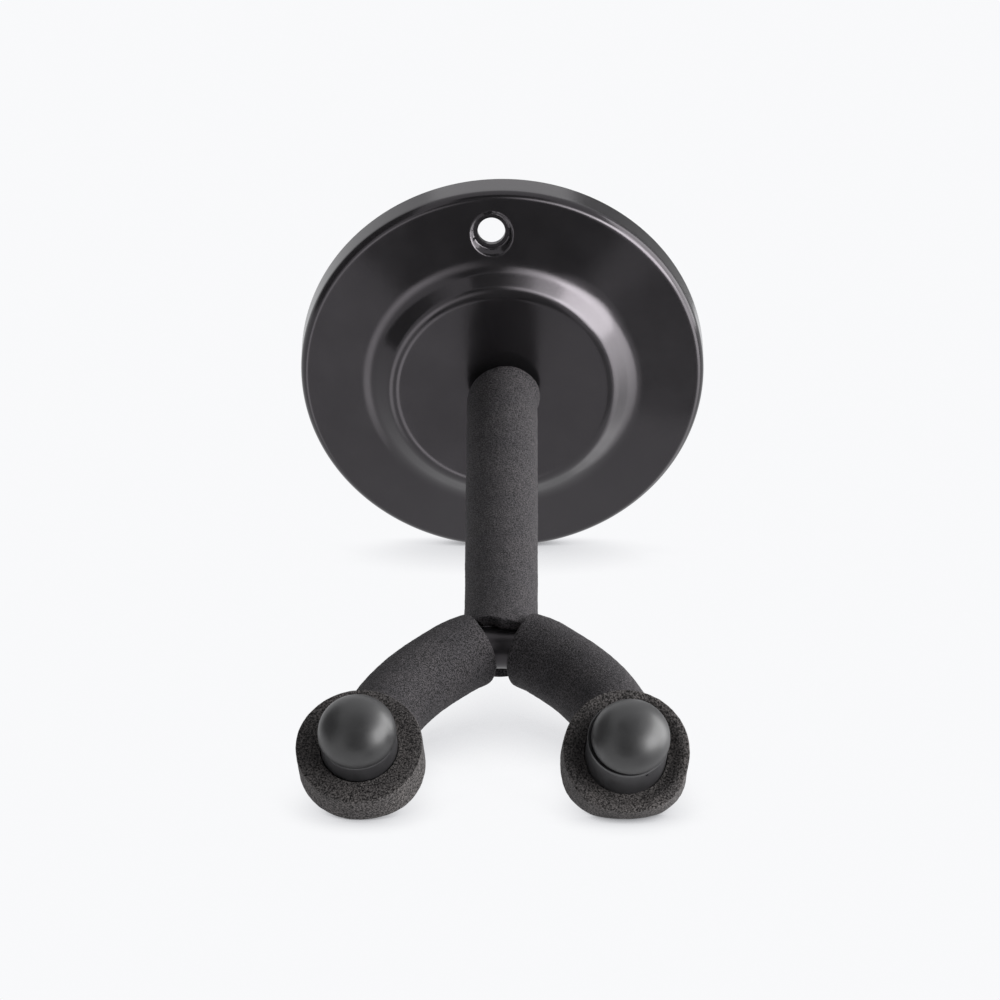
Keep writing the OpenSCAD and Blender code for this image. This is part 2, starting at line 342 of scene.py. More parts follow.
def grid_faces(rows, columns, close_rows=True):
    """Quads of a grid whose point (i, j) has the number i * columns + j."""
    faces = []
    for i in range(rows if close_rows else rows - 1):
        a, b = i * columns, ((i + 1) % rows) * columns
        for j in range(columns):
            k = (j + 1) % columns
            faces.append((a + j, a + k, b + k, b + j))
    return faces


def orient_outwards(mesh, weld=False):
    bm = bmesh.new()
    bm.from_mesh(mesh)
    if weld:
        bmesh.ops.remove_doubles(bm, verts=bm.verts, dist=1e-7)
    bmesh.ops.recalc_face_normals(bm, faces=bm.faces)
    bm.to_mesh(mesh)
    bm.free()


def arc(centre, radius, start, end, steps):
    """Points on an arc, angles in degrees."""
    angles = np.radians(np.linspace(start, end, steps + 1))
    return [(centre[0] + radius * cos(a), centre[1] + radius * sin(a)) for a in angles]


def run_to(points, end, steps):
    """Adds points in a straight line from the last one to end."""
    start = np.array(points[-1])
    points += [tuple(start + (np.array(end) - start) * i / steps) for i in range(1, steps + 1)]


def read_points(values, key):
    """A vector for each of a mesh's points, as rows."""
    flat = np.empty(len(values) * 3)
    values.foreach_get(key, flat)
    return flat.reshape(-1, 3)


def mark_points(mesh, name, values):
    mesh.attributes.new(name, "FLOAT", "POINT").data.foreach_set("value", values)


# How far each seed moves the noise along X, Y and Z
SEED_STEPS = (7.3, 3.1, 5.7)


def roughen(mesh, layers, seed):
    """Moves each point along its normal by noise. layers are (height, wavelength) in mm."""
    normals = read_points(mesh.vertex_normals, "vector")
    coords = read_points(mesh.vertices, "co")
    shift = Vector([seed * step for step in SEED_STEPS])
    moves = np.zeros(len(coords))
    for height, wavelength in layers:
        scale = 1.0 / (wavelength * MM)
        moves += height * MM * np.array([noise.noise(Vector(c) * scale + shift) for c in coords])
    mesh.vertices.foreach_set("co", (coords + normals * moves[:, None]).ravel())
    mesh.update()


# -------- materials
# Wavelengths and heights are in millimetres. Most of a noise's values lie between these two.
NOISE_LOW, NOISE_HIGH = 0.3, 0.7
WHITE = (1.0, 1.0, 1.0)


def new_material(name):
    """A material, its node tree and its shader."""
    material = bpy.data.materials.new(name)
    material.use_nodes = True
    return material, material.node_tree, material.node_tree.nodes["Principled BSDF"]


def add_node(tree, kind, values, links):
    """A node with values on its own sockets and links into others."""
    node = tree.nodes.new("ShaderNode" + kind)
    for socket, value in values.items():
        node.inputs[socket].default_value = value
    for socket, source in links.items():
        tree.links.new(source, node.inputs[socket])
    return node


def object_coordinates(tree):
    """Object coordinates in millimetres."""
    coordinates = add_node(tree, "TexCoord", {}, {})
    return add_node(tree, "Mapping", {"Scale": (1 / MM, 1 / MM, 1 / MM)},
                    {"Vector": coordinates.outputs["Object"]}).outputs["Vector"]


def noise_node(tree, vector, wavelength, detail=2.0, roughness=0.5):
    settings = {"Scale": 1.0 / wavelength, "Detail": detail, "Roughness": roughness}
    return add_node(tree, "TexNoise", settings, {"Vector": vector}).outputs["Fac"]


def ramp_node(tree, fac, stops):
    node = tree.nodes.new("ShaderNodeValToRGB")
    elements = node.color_ramp.elements
    while len(elements) < len(stops):
        elements.new(0.5)
    for element, (position, colour) in zip(elements, stops):
        element.position = position
        element.color = (*colour, 1.0)
    tree.links.new(fac, node.inputs["Fac"])
    return node.outputs["Color"]


def noise_tone(tree, vector, wavelength, detail, low, high):
    """A colour that drifts between low and high by noise."""
    return ramp_node(tree, noise_node(tree, vector, wavelength, detail),
                     [(NOISE_LOW, low), (NOISE_HIGH, high)])


def range_node(tree, value, low, high):
    limits = {"From Min": NOISE_LOW, "From Max": NOISE_HIGH, "To Min": low, "To Max": high}
    return add_node(tree, "MapRange", limits, {"Value": value}).outputs["Result"]


def bump_node(tree, height, distance, strength=1.0, normal=None):
    links = {"Height": height} if normal is None else {"Height": height, "Normal": normal}
    return add_node(tree, "Bump", {"Strength": strength, "Distance": distance * MM},
                    links).outputs["Normal"]


def multiply_node(tree, a, b):
    node = tree.nodes.new("ShaderNodeMix")
    node.data_type = "RGBA"
    node.blend_type = "MULTIPLY"
    node.inputs["Factor"].default_value = 1.0
    tree.links.new(a, node.inputs["A"])
    tree.links.new(b, node.inputs["B"])
    return node.outputs["Result"]


def dress(tree, shader, colour, roughness, normal):
    """Gives the shader what varies over the surface."""
    tree.links.new(colour, shader.inputs["Base Color"])
    if roughness is not None:
        tree.links.new(roughness, shader.inputs["Roughness"])
    tree.links.new(normal, shader.inputs["Normal"])


def mark_node(tree, name):
    """The value that a piece's points carry under this name, 0 where they have none."""
    node = tree.nodes.new("ShaderNodeAttribute")
    node.attribute_name = name
    return node.outputs["Fac"]


def black_coat(name, peel_height, roughness):
    """Semi-gloss black powder coat: faint orange peel, and a tone that drifts slightly."""
    material, tree, shader = new_material(name)
    shader.inputs["Specular Tint"].default_value = (1.0, 0.93, 1.0, 1.0)
    mm = object_coordinates(tree)
    tone = noise_tone(tree, mm, 14.0, 3.0, (0.0055, 0.0053, 0.0058), (0.0088, 0.0084, 0.009))
    dress(tree, shader, tone,
          range_node(tree, noise_node(tree, mm, 9.0, 4.0), roughness - 0.03, roughness + 0.04),
          bump_node(tree, noise_node(tree, mm, 0.9), peel_height))
    return material


def foam(name, dark, light, grain, pore_height):
    """Closed-cell foam rubber: a salt-and-pepper grain of cut cells, with painted shade in each
    pore's hollow and on marked cut faces.
    """
    material, tree, shader = new_material(name)
    shader.inputs["Specular IOR Level"].default_value = 0.25
    mm = object_coordinates(tree)
    cells = add_node(tree, "TexVoronoi", {"Scale": 1.0 / grain, "Randomness": 1.0},
                     {"Vector": mm}).outputs["Distance"]
    fine = noise_node(tree, mm, grain * 1.3, 3.0, 0.65)
    middle = tuple((a + b) / 2 for a, b in zip(dark, light))
    speckle = ramp_node(tree, fine, [(0.40, dark), (0.51, middle), (0.62, light)])
    # Painted shade: each pore's hollow is painted darker and its rim a little lighter.
    pore_shade = ramp_node(tree, cells, [(0.0, (0.55, 0.55, 0.55)), (0.35, WHITE),
                                        (0.9, (1.15, 1.15, 1.15))])
    broad = noise_tone(tree, mm, 7.0, 3.0, (0.86, 0.86, 0.87), (1.12, 1.10, 1.09))
    # Painted shade: the foam is darker where a cut face is marked, for the shade that face lies
    # in.
    shade = ramp_node(tree, mark_node(tree, "painted_face_shade"), [(0.0, WHITE), (1.0, (0.6, 0.6, 0.6))])
    colour = multiply_node(tree, multiply_node(tree, speckle, pore_shade), broad)
    colour = multiply_node(tree, colour, shade)
    roughness = range_node(tree, fine, 0.82, 0.98)
    pores = bump_node(tree, cells, pore_height)
    dress(tree, shader, colour, roughness, bump_node(tree, fine, pore_height, 0.8, pores))
    return material


def moulded_rubber(name):
    """Satin black moulded cap, with painted light that makes its straight side greyer than its
    dome.
    """
    material, tree, shader = new_material(name)
    shader.inputs["Specular IOR Level"].default_value = 0.85
    mm = object_coordinates(tree)
    tone = noise_tone(tree, mm, 5.0, 3.0, (0.0085, 0.0083, 0.0090), (0.0118, 0.0115, 0.0124))
    # Painted light: the straight side is painted lighter, standing in for the pale floor it
    # reflects.
    painted_side_tone = ramp_node(tree, mark_node(tree, "painted_side_light"), [(0.0, WHITE), (1.0, (2.6, 2.6, 2.6))])
    dress(tree, shader, multiply_node(tree, tone, painted_side_tone),
          range_node(tree, noise_node(tree, mm, 2.5, 4.0), 0.38, 0.46),
          bump_node(tree, noise_node(tree, mm, 0.35), 0.006))
    return material


def zinc_plate(name):
    """Bright zinc plating with fine tool marks."""
    material, tree, shader = new_material(name)
    shader.inputs["Metallic"].default_value = 1.0
    mm = object_coordinates(tree)
    tone = noise_tone(tree, mm, 3.0, 4.0, (0.50, 0.50, 0.53), (0.66, 0.66, 0.67))
    dress(tree, shader, tone, range_node(tree, noise_node(tree, mm, 0.7, 5.0), 0.25, 0.42),
          bump_node(tree, noise_node(tree, mm, 0.25, 3.0), 0.01))
    return material


def nylon(name):
    """Milky nylon of the lock nut's ring."""
    material, tree, shader = new_material(name)
    shader.inputs["Roughness"].default_value = 0.4
    mm = object_coordinates(tree)
    tone = noise_tone(tree, mm, 1.5, 3.0, (0.62, 0.62, 0.58), (0.78, 0.78, 0.74))
    dress(tree, shader, tone, None, bump_node(tree, noise_node(tree, mm, 0.4), 0.01))
    return material


# -------- base plate
# Steps along the section: its rim bend, its other bends, and its four straights from the wall in
RIM_STEPS, BEND_STEPS = 14, 16
STRAIGHT_STEPS = (6, 40, 6, 14)
# Degrees between points round the plate: mostly, and within this many degrees of a screw hole
TURN_STEP, FINE_TURN_STEP, FINE_TURN_REACH = 1.5, 0.5, 12
HOLE_ANGLES = (90 + PLATE_TURN, 270 + PLATE_TURN)
# How much wider a dimple's floor is on the sheet's back, in sheet thicknesses, and how far from
# its centre it is looked at, in radii
DIMPLE_WIDENS = 0.6
DIMPLE_REACH = 2.5


def plate_profile(inset):
    """The sheet's section as (radius, depth), from the wall edge to the bore."""
    face, side = math.degrees(FACE_SLOPE), math.degrees(BOSS_SLOPE)
    rim = arc(RIM_CENTRE, RIM_BEND_R - inset, 0, 90 - face, RIM_STEPS)
    foot = arc(FOOT_CENTRE, FOOT_BEND_R + inset, -90 - face, -90 - side, BEND_STEPS)
    top = arc(TOP_CENTRE, TOP_BEND_R - inset, 90 - side, 90, BEND_STEPS)
    points = [(PLATE_R - inset, 0.0)]
    run_to(points, rim[0], STRAIGHT_STEPS[0])
    points += rim[1:]
    run_to(points, foot[0], STRAIGHT_STEPS[1])
    points += foot[1:]
    run_to(points, top[0], STRAIGHT_STEPS[2])
    points += top[1:]
    run_to(points, (BORE_R, BOSS_DEPTH - inset), STRAIGHT_STEPS[3])
    return points


def hole_centre(angle):
    return (SCREW_CIRCLE_R * cos(radians(angle)),
            SCREW_CIRCLE_R * sin(radians(angle)))


def plate_angles():
    """Angles round the plate, closer together at the screw holes."""
    angles = []
    a = 0.0
    while a < 360.0 - 1e-6:
        angles.append(a)
        nearest = min(abs((a - hole + 180) % 360 - 180) for hole in HOLE_ANGLES)
        a += FINE_TURN_STEP if nearest < FINE_TURN_REACH else TURN_STEP
    return np.radians(angles)


def pressed_depth(x, z, depth, wall):
    """The sheet's depth with the screw dimples pressed in, on its outside or its inside."""
    for angle in HOLE_ANGLES:
        cx, cz = hole_centre(angle)
        rho = np.hypot(x - cx, z - cz)
        inwards = SCREW_CIRCLE_R - (x * cx + z * cz) / SCREW_CIRCLE_R
        bowl = (DIMPLE_FLOOR - wall + inwards * math.tan(DIMPLE_TILT)
                + DIMPLE_WALL * np.maximum(rho - DIMPLE_R - wall * DIMPLE_WIDENS, 0.0))
        gap = np.clip((bowl - depth) / DIMPLE_BLEND, -1.0, 1.0)
        rounding = DIMPLE_BLEND * (1 - gap * gap) / 4
        near = rho < DIMPLE_REACH * DIMPLE_R
        depth = np.where(near, np.minimum(bowl, depth) - rounding, depth)
    return depth


def cut(piece, cutters):
    """Cuts the cutters out of the piece for good."""
    for cutter in cutters:
        modifier = piece.modifiers.new("cut", "BOOLEAN")
        modifier.operation = "DIFFERENCE"
        modifier.solver = "EXACT"
        modifier.object = cutter
    depsgraph = bpy.context.evaluated_depsgraph_get()
    cut_mesh = bpy.data.meshes.new_from_object(piece.evaluated_get(depsgraph))
    piece.modifiers.clear()
    piece.data = cut_mesh
    for cutter in cutters:
        bpy.data.objects.remove(cutter)


def cylinder_cutter(place, axis, radius, length, segments):
    mesh = bpy.data.meshes.new("cutter")
    bm = bmesh.new()
    bmesh.ops.create_cone(bm, cap_ends=True, segments=segments, radius1=radius * MM,
                          radius2=radius * MM, depth=length * MM)
    bm.to_mesh(mesh)
    bm.free()
    cutter = new_object("cutter", mesh)
    cutter.matrix_world = Matrix.Translation(Vector(place) * MM) @ Vector(
        axis).to_track_quat("Z", "Y").to_matrix().to_4x4()
    return cutter


def make_base_plate(material):
    outer, inner = plate_profile(0.0), plate_profile(SHEET_T)
    loop = np.array(outer + inner[::-1])
    wall = np.array([0.0] * len(outer) + [SHEET_T] * len(inner))[:, None]
    angles = plate_angles()
    radius, depth = loop[:, 0][:, None], loop[:, 1][:, None]
    x = radius * np.cos(angles)
    z = radius * np.sin(angles)
    y = -pressed_depth(x, z, depth + 0.0 * x, wall)
    coords = np.stack([x, y, z], -1).reshape(-1, 3) * MM
    mesh = bpy.data.meshes.new("base_plate_pressed")
    mesh.from_pydata(coords.tolist(), [], grid_faces(len(loop), len(angles)))
    orient_outwards(mesh)
    piece = new_object("base_plate_pressed", mesh)
    cutters = []
    for angle in HOLE_ANGLES:
        cx, cz = hole_centre(angle)
        cutters.append(cylinder_cutter((cx, -PLATE_DEPTH, cz), (0, 1, 0), SCREW_HOLE_R,
                                       length=12.0, segments=96))
    cut(piece, cutters)
    finish_piece(piece, "base", material, ["base_plate"])
    PLATE_ONLY.objects.link(piece)
    sharpen(piece, 40)


# -------- rod work
def moved(x, y, z):
    m = np.eye(4)
    m[:3, 3] = (x, y, z)
    return m


def turned(degrees):
    a = radians(degrees)
    m = np.eye(4)
    m[0, 0], m[0, 1], m[1, 0], m[1, 1] = cos(a), sin(a), -sin(a), cos(a)
    return m


def after_bend(radius, degrees):
    a = radians(degrees)
    return moved(radius * (1 - cos(a)), radius * sin(a), 0) @ turned(degrees)


# A quarter roll about the heading, so that the next bend turns upwards
ROLL = np.array([[0, 0, -1, 0], [0, 1, 0, 0], [1, 0, 0, 0], [0, 0, 0, 1]], float)
CROTCH = moved(0, -ARM_REACH, 0) @ turned(90)


def leg_start(side):
    return CROTCH @ after_bend(CROTCH_R, CROTCH_ANGLE[side]) @ moved(0, LEG_RUN, 0)


def toe_end(side):
    return leg_start(side) @ after_bend(LEG_R[side], LEG_ANGLE[side]) @ moved(0, TOE_RUN, 0)


def tip_start(side):
    return toe_end(side) @ ROLL @ after_bend(TIP_R, TIP_RISE[side])


def prong_lengths(side):
    """Lengths along a prong to the end of each stretch: bend, run, bend, run, bend."""
    stretches = (CROTCH_R * radians(CROTCH_ANGLE[side]), LEG_RUN,
                 LEG_R[side] * radians(LEG_ANGLE[side]), TOE_RUN,
                 TIP_R * radians(TIP_RISE[side]))
    return np.cumsum(stretches)


def prong_frame(side, s):
    """The frame at length s along a prong, before mirroring: +Y is the heading."""
    ends = prong_lengths(side)
    if s <= ends[0]:
        return CROTCH @ after_bend(CROTCH_R, math.degrees(s / CROTCH_R))
    if s <= ends[1]:
        return CROTCH @ after_bend(CROTCH_R, CROTCH_ANGLE[side]) @ moved(0, s - ends[0], 0)
    if s <= ends[2]:
        return leg_start(side) @ after_bend(LEG_R[side], math.degrees((s - ends[1]) / LEG_R[side]))
    if s <= ends[3]:
        return toe_end(side) @ moved(0, s - ends[3], 0)
    if s <= ends[4]:
        bend = after_bend(TIP_R, math.degrees((s - ends[3]) / TIP_R))
        return toe_end(side) @ ROLL @ bend @ ROLL.T
    return tip_start(side) @ moved(0, s - ends[4], 0) @ ROLL.T


def arm_frame(s):
    """The frame at distance s from the wall, heading out along the arm."""
    return moved(0, -s, 0) @ turned(180)


def out_from_wall(distance):
    """A place on the arm's axis, with +Z heading out of the wall."""
    return moved(0, -distance, 0) @ np.array(
        [[1, 0, 0, 0], [0, 0, -1, 0], [0, 1, 0, 0], [0, 0, 0, 1]], float)


# The left prong is built as a right one and mirrored
SIGN = (-1.0, 1.0)


def placed(place, x, y, z, mirror=1.0):
    """A point of a place's own frame in the scene, in metres."""
    p = place @ np.array([x, y, z, 1])
    return mirror * p[0] * MM, p[1] * MM, p[2] * MM


def sweep(name, place, rows, material, cuts, swell, replaces, mirror=1.0):
    """A foam sleeve's skin through rings. rows are (length along, radius), and go right round its
    wall. cuts shifts the rows along, by angle, and swell adds to the outer radius."""
    coords = []
    for s, radius in rows:
        for a in np.linspace(0, 2 * pi, SLEEVE_AROUND, endpoint=False):
            r = radius
            if radius > SLEEVE_BORE_R:
                r += swell(s, a) * (radius - SLEEVE_BORE_R) / (SLEEVE_R - SLEEVE_BORE_R)
            coords.append(placed(place(cuts(s, a)), r * cos(a), 0, r * sin(a), mirror))
    faces = grid_faces(len(rows), SLEEVE_AROUND)
    return new_piece(name, coords, faces, material, replaces)


# Steps across a foam tube's end face and round its edge, and how much longer the bore's steps are
FACE_STEPS, EDGE_STEPS, BORE_STEP = 5, 6, 6


def foam_rows(s0, s1, outer, inner, step, edge, sunk=0.0):
    """Rows right round a foam tube's wall: its start, outside, end and bore. The end is a hollow
    cone that goes in by sunk at the bore."""
    rows = []
    wall = outer - edge - inner
    for i in range(FACE_STEPS + 1):
        rows.append((s0, inner + wall * i / FACE_STEPS))
    for i in range(1, EDGE_STEPS):
        a = pi / 2 * i / EDGE_STEPS
        rows.append((s0 + edge * (1 - cos(a)), outer - edge * (1 - sin(a))))
    count = max(2, int((s1 - s0 - 2 * edge) / step))
    rows += [(s0 + edge + (s1 - s0 - 2 * edge) * i / count, outer) for i in range(count + 1)]
    for i in range(EDGE_STEPS - 1, 0, -1):
        a = pi / 2 * i / EDGE_STEPS
        rows.append((s1 - edge * (1 - cos(a)), outer - edge * (1 - sin(a))))
    for i in range(FACE_STEPS, -1, -1):
        rows.append((s1 - sunk * (1 - i / FACE_STEPS), inner + wall * i / FACE_STEPS))
    back = max(2, int((s1 - s0) / (step * BORE_STEP)))
    rows += [(s1 - sunk + (s0 - s1 + sunk) * i / back, inner) for i in range(1, back)]
    return rows


# Points round a foam sleeve, and the length of its steps
SLEEVE_AROUND = 120
SLEEVE_STEP = 0.5
# How far the hand-cut starts of the prong sleeves are off square: all round, and at the inside,
# fading out over a length
CUT_SHIFT = (2.1, 0.0)
CUT_SLANT = (4.5, 3.3)
CUT_FADE = 9.0
SLANT_TURN = radians(8.0)
# How the corner at the inside of the bend is pressed onto the rod, in millimetres
CORNER_PINCH = 1.6
CORNER_REACH = 1.6
PRONG_EDGE_R = 0.7
PRONG_END_GAP = 0.1
# Lumps, cells and grain of each foam's surface as (height, wavelength), and the first seed
FINE_GRAIN = (0.05, 0.8)
PRONG_SURFACE, PRONG_SEED = ((0.12, 10.0), (0.05, 2.2), FINE_GRAIN), 3
ARM_SURFACE, ARM_SEED = ((0.10, 12.0), (0.05, 2.2), FINE_GRAIN), 2
DISC_SURFACE, DISC_SEED = ((0.16, 9.0), (0.05, 2.0), FINE_GRAIN), 11


def mark_painted_shade_rings(piece, cut_rows, around, shade_strength):
    """Marks the rings of points on a cut face for painted shade, which darkens the foam there."""
    values = np.zeros(len(piece.data.vertices))
    for row in cut_rows:
        values[row * around:(row + 1) * around] = shade_strength
    mark_points(piece.data, "painted_face_shade", values)


def make_prong_sleeve(side, material):
    s0 = CROTCH_R * radians(SLEEVE_START[side])
    s1 = prong_lengths(side)[4] + TIP_RUN - DISC_T - PRONG_END_GAP
    rows = foam_rows(s0, s1, PRONG_SLEEVE_R[side], SLEEVE_BORE_R, SLEEVE_STEP, PRONG_EDGE_R)

    def cuts(s, angle):
        fade = max(0.0, 1.0 - (s - s0) / CUT_FADE)
        slant = max(0.0, cos(angle + SLANT_TURN)) ** 2 * CUT_SLANT[side]
        return s + (CUT_SHIFT[side] - slant) * fade

    def swell(s, angle):
        return -CORNER_PINCH * math.exp(-(s - s0) / CORNER_REACH) * max(0.0, cos(angle)) ** 2

    piece = sweep(f"{SIDES[side]}_prong_foam", lambda s: prong_frame(side, s), rows, material,
                  cuts, swell, [f"{SIDES[side]}_prong_sleeve"], SIGN[side])
    roughen(piece.data, PRONG_SURFACE, PRONG_SEED + side)


# The arm sleeve: its edges, its gap to the prong sleeves, the length over which its front is cut
# to shape, and how it flares out at the left towards the front
ARM_EDGE_R = 0.25
MITRE_GAP = 0.3
FRONT_TAPER = 14.0
FLARE_REACH = 26.0
FLARE_HEIGHT = 0.6
# How strongly painted shade darkens the sleeve's hollow end face, which lies in the prongs' shadow
CUT_END_PAINTED_SHADE = 0.2
# Its wall end: pinched onto the rod, but at the right a lip and then, further out, a crease
PINCH_DEPTH = 0.55
PINCH_REACH = 1.6
LIP_TURN = 0.35
LIP_HEIGHT, LIP_REACH = 0.70, 1.5
CREASE_DEPTH, CREASE_PLACE, CREASE_REACH = 0.25, 3.6, 1.3


def arm_sleeve_end(angle):
    """How far out the arm's sleeve reaches at an angle: it gives way to the prong sleeves."""
    x = SLEEVE_R * cos(angle)
    side = LEFT if x > 0 else RIGHT
    start = radians(SLEEVE_START[side])
    x0 = CROTCH_R * sin(start)
    f0 = ARM_REACH + CROTCH_R * (1 - cos(start))
    limit = f0 - (abs(x) - x0) * cos(start) / sin(start) - MITRE_GAP + CUT_SHIFT[side]
    level = (1 + sin(angle)) / 2
    square = SLEEVE_LOW_FRONT + (SLEEVE_FRONT - SLEEVE_LOW_FRONT) * level
    if side == LEFT:
        square -= SLEEVE_LEFT_BACK * max(0.0, sin(2 * angle))
        limit += LEFT_MITRE * cos(angle) ** 2
    return min(square, limit)


def make_arm_sleeve(material):
    s0 = BOSS_DEPTH + SLEEVE_GAP
    s1 = SLEEVE_FRONT
    rows = foam_rows(s0, s1, SLEEVE_R, SLEEVE_BORE_R, SLEEVE_STEP, ARM_EDGE_R, SLEEVE_SUNK)

    def cuts(s, angle):
        if s < s1 - FRONT_TAPER:
            return s
        return s - (s1 - arm_sleeve_end(angle)) * (s - s1 + FRONT_TAPER) / FRONT_TAPER

    def swell(s, angle):
        flare = (max(0.0, (s - s1 + FLARE_REACH) / FLARE_REACH) ** 2 * FLARE_HEIGHT
                 * max(0.0, cos(angle)))
        on_right = max(0.0, -cos(angle + LIP_TURN))
        pinch = (PINCH_DEPTH * math.exp(-(s - s0) / PINCH_REACH)
                 * (0.5 + 0.5 * abs(cos(angle))))
        lip = LIP_HEIGHT * math.exp(-((s - s0) / LIP_REACH) ** 2) * on_right
        crease = (CREASE_DEPTH * math.exp(-((s - s0 - CREASE_PLACE) / CREASE_REACH) ** 2)
                  * on_right)
        return flare - pinch * (1.0 - on_right) + lip - crease

    piece = sweep("arm_foam", arm_frame, rows, material, cuts, swell, ["arm_sleeve"])
    roughen(piece.data, ARM_SURFACE, ARM_SEED)
    # Painted shade, for the prongs' shadow, on the hollow end face inside its outer ring and the
    # first ring of the bore
    end = max(range(len(rows)), key=lambda i: rows[i][0])
    mark_painted_shade_rings(piece, range(end + 1, end + FACE_STEPS + 2), SLEEVE_AROUND, CUT_END_PAINTED_SHADE)


YOKE_AROUND = 40
YOKE_STEP = 1.0
# How far the rod goes into a cap, and how deep the cap's socket is
ROD_IN_CAP, SOCKET_DEPTH = 8.0, 8.05


def rod_faces(rings, around):
    """The skin of a rod of this many rings, with its two ends closed."""
    return grid_faces(rings, around, close_rows=False) + [
        tuple(range(around)), tuple(range((rings - 1) * around, rings * around))]


def make_yoke_rod(material):
    """The bent rod, from the left tip through the crotch to the right tip."""
    ends = [prong_lengths(side)[4] + TIP_RUN + ROD_IN_CAP - CAP_SINK[side]
            for side in (LEFT, RIGHT)]
    coords = []
    angles = np.linspace(0, 2 * pi, YOKE_AROUND, endpoint=False)
    left = [(LEFT, s) for s in np.arange(ends[LEFT], 0, -YOKE_STEP)]
    right = [(RIGHT, s) for s in np.arange(0, ends[RIGHT], YOKE_STEP)] + [(RIGHT, ends[RIGHT])]
    stations = left + right
    for side, s in stations:
        m = prong_frame(side, s)
        for a in angles:
            coords.append(placed(m, ROD_R * cos(a), 0, ROD_R * sin(a), SIGN[side]))
    piece = new_piece("yoke_bent_rod", coords, rod_faces(len(stations), YOKE_AROUND), material,
                      ["yoke_rod"])
    sharpen(piece, 50)


def lathe(name, profile, around, place, material, replaces=(), limit=None, shift=None,
          mirror=1.0):
    """Turns a section of (radius, height) about the place's +Z. limit holds the radius down by
    angle, and shift moves a ring sideways by its height."""
    angles = np.linspace(0, 2 * pi, around, endpoint=False)
    coords = []
    for radius, height in profile:
        dx = 0.0 if shift is None else shift(height)
        for a in angles:
            r = radius if limit is None else min(radius, limit(a))
            coords.append(placed(place, r * cos(a) + dx, r * sin(a), height, mirror))
    closed = profile[0][0] > 1e-6
    faces = grid_faces(len(profile), around, close_rows=closed)
    return new_piece(name, coords, faces, material, replaces, weld=not closed)


# Turns a prong's frame so that the tip's axis is +Z, and +X is to the outside
TIP_UP = np.array([[0, 1, 0, 0], [0, 0, 1, 0], [1, 0, 0, 0], [0, 0, 0, 1]], float)


def rotation(degrees, axis):
    return np.array(Matrix.Rotation(radians(degrees), 4, axis))


def tip_place(side, along=0.0, lean=0.0, nod=0.0, lift=0.0):
    """A point on a tip's axis, counted from the disc's front face, leaning outwards and nodding
    forwards about that point."""
    place = tip_start(side) @ moved(0, TIP_RUN + along, 0) @ TIP_UP
    place[2, 3] += lift
    return place @ rotation(lean, "Y") @ rotation(nod, "X")


# How far a disc spreads sideways above its foot, to the left and the right, and at what height
SPREAD = ((0.0, 0.7), (1.15, 1.0))
SPREAD_HEIGHT = 3.0
SPREAD_REACH = 5.0
SPREAD_START = 8.0
# How high above the floor the foam starts to give, and how close to the floor it comes
FOAM_GIVE = 0.8
FLOOR_MARGIN = 0.05


def clear_of_floor(piece, side):
    """Flattens soft foam where it stands on the floor, and spreads it a little above that."""
    coords = read_points(piece.data.vertices, "co")
    pivot, tilt = floor_place()
    normal = np.array((0.0, sin(tilt), cos(tilt)))
    height = (coords - np.array(pivot)) @ normal
    soft = FOAM_GIVE * MM
    under = height < soft
    target = FLOOR_MARGIN * MM + soft * 0.5 * (1 + np.tanh((height - soft) / soft))
    lift = np.where(under, np.maximum(target - height, 0.0), 0.0)
    coords += lift[:, None] * normal
    across = (coords[:, 0] - coords[:, 0].mean()) / MM
    ring = np.exp(-((height / MM - SPREAD_HEIGHT) / SPREAD_REACH) ** 2)
    widest = np.where(across < 0, -SPREAD[side][0], SPREAD[side][1])
    coords[:, 0] += widest * ring * np.clip(np.abs(across) / SPREAD_START, 0.0, 1.0) * MM
    piece.data.vertices.foreach_set("co", coords.ravel())
    piece.data.update()


DISC_AROUND = 180
DISC_EDGE_R = 0.28
# How strongly painted shade darkens a disc's dished front face, which gets less light than its
# side
DISC_FACE_PAINTED_SHADE = 0.45
# The flat rim round the dish, the dish's steps, and the seat's play round and under the cap
DISH_RIM = 1.0
DISH_STEPS = 12
SEAT_PLAY_R = 0.25
SEAT_PLAY = 0.05


def make_foam_disc(side, material):
    edge, bore = DISC_EDGE_R, SLEEVE_BORE_R
    seat_r = CAP_R[side] + SEAT_PLAY_R
    seat = -CAP_SINK[side] - SEAT_PLAY
    lip_r = DISC_R - DISH_RIM
    profile = [(bore, -DISC_T)]
    run_to(profile, (DISC_R - edge, -DISC_T), steps=18)
    profile += arc((DISC_R - edge, -DISC_T + edge), edge, -90, 0, steps=6)[1:]
    run_to(profile, (DISC_R, -edge), steps=18)
    profile += arc((DISC_R - edge, -edge), edge, 0, 90, steps=6)[1:]
    face_start = len(profile) - 2
    run_to(profile, (lip_r, 0.0), steps=3)
    for i in range(1, DISH_STEPS + 1):
        t = i / DISH_STEPS
        profile.append((lip_r + (seat_r - lip_r) * t,
                        -DISH_DEPTH[side] * (1 - cos(pi * t)) / 2))
    run_to(profile, (seat_r, seat), steps=4)
    face_end = len(profile)
    run_to(profile, (bore, seat), steps=8)
    run_to(profile, (bore, -DISC_T), steps=6)
    profile.pop()
    place = tip_place(side, 0.0, DISC_LEAN[side], DISC_NOD[side], DISC_LIFT[side])
    place = place @ moved(DISC_OUT[side], 0, 0)
    piece = lathe(f"{SIDES[side]}_disc_foam", profile, DISC_AROUND, place, material,
                  [f"{SIDES[side]}_foam_disc"], mirror=SIGN[side])
    roughen(piece.data, DISC_SURFACE, DISC_SEED + side)
    # Painted shade on the dished front face
    mark_painted_shade_rings(piece, range(face_start, face_end), DISC_AROUND, DISC_FACE_PAINTED_SHADE)
    clear_of_floor(piece, side)
    sharpen(piece, 60)


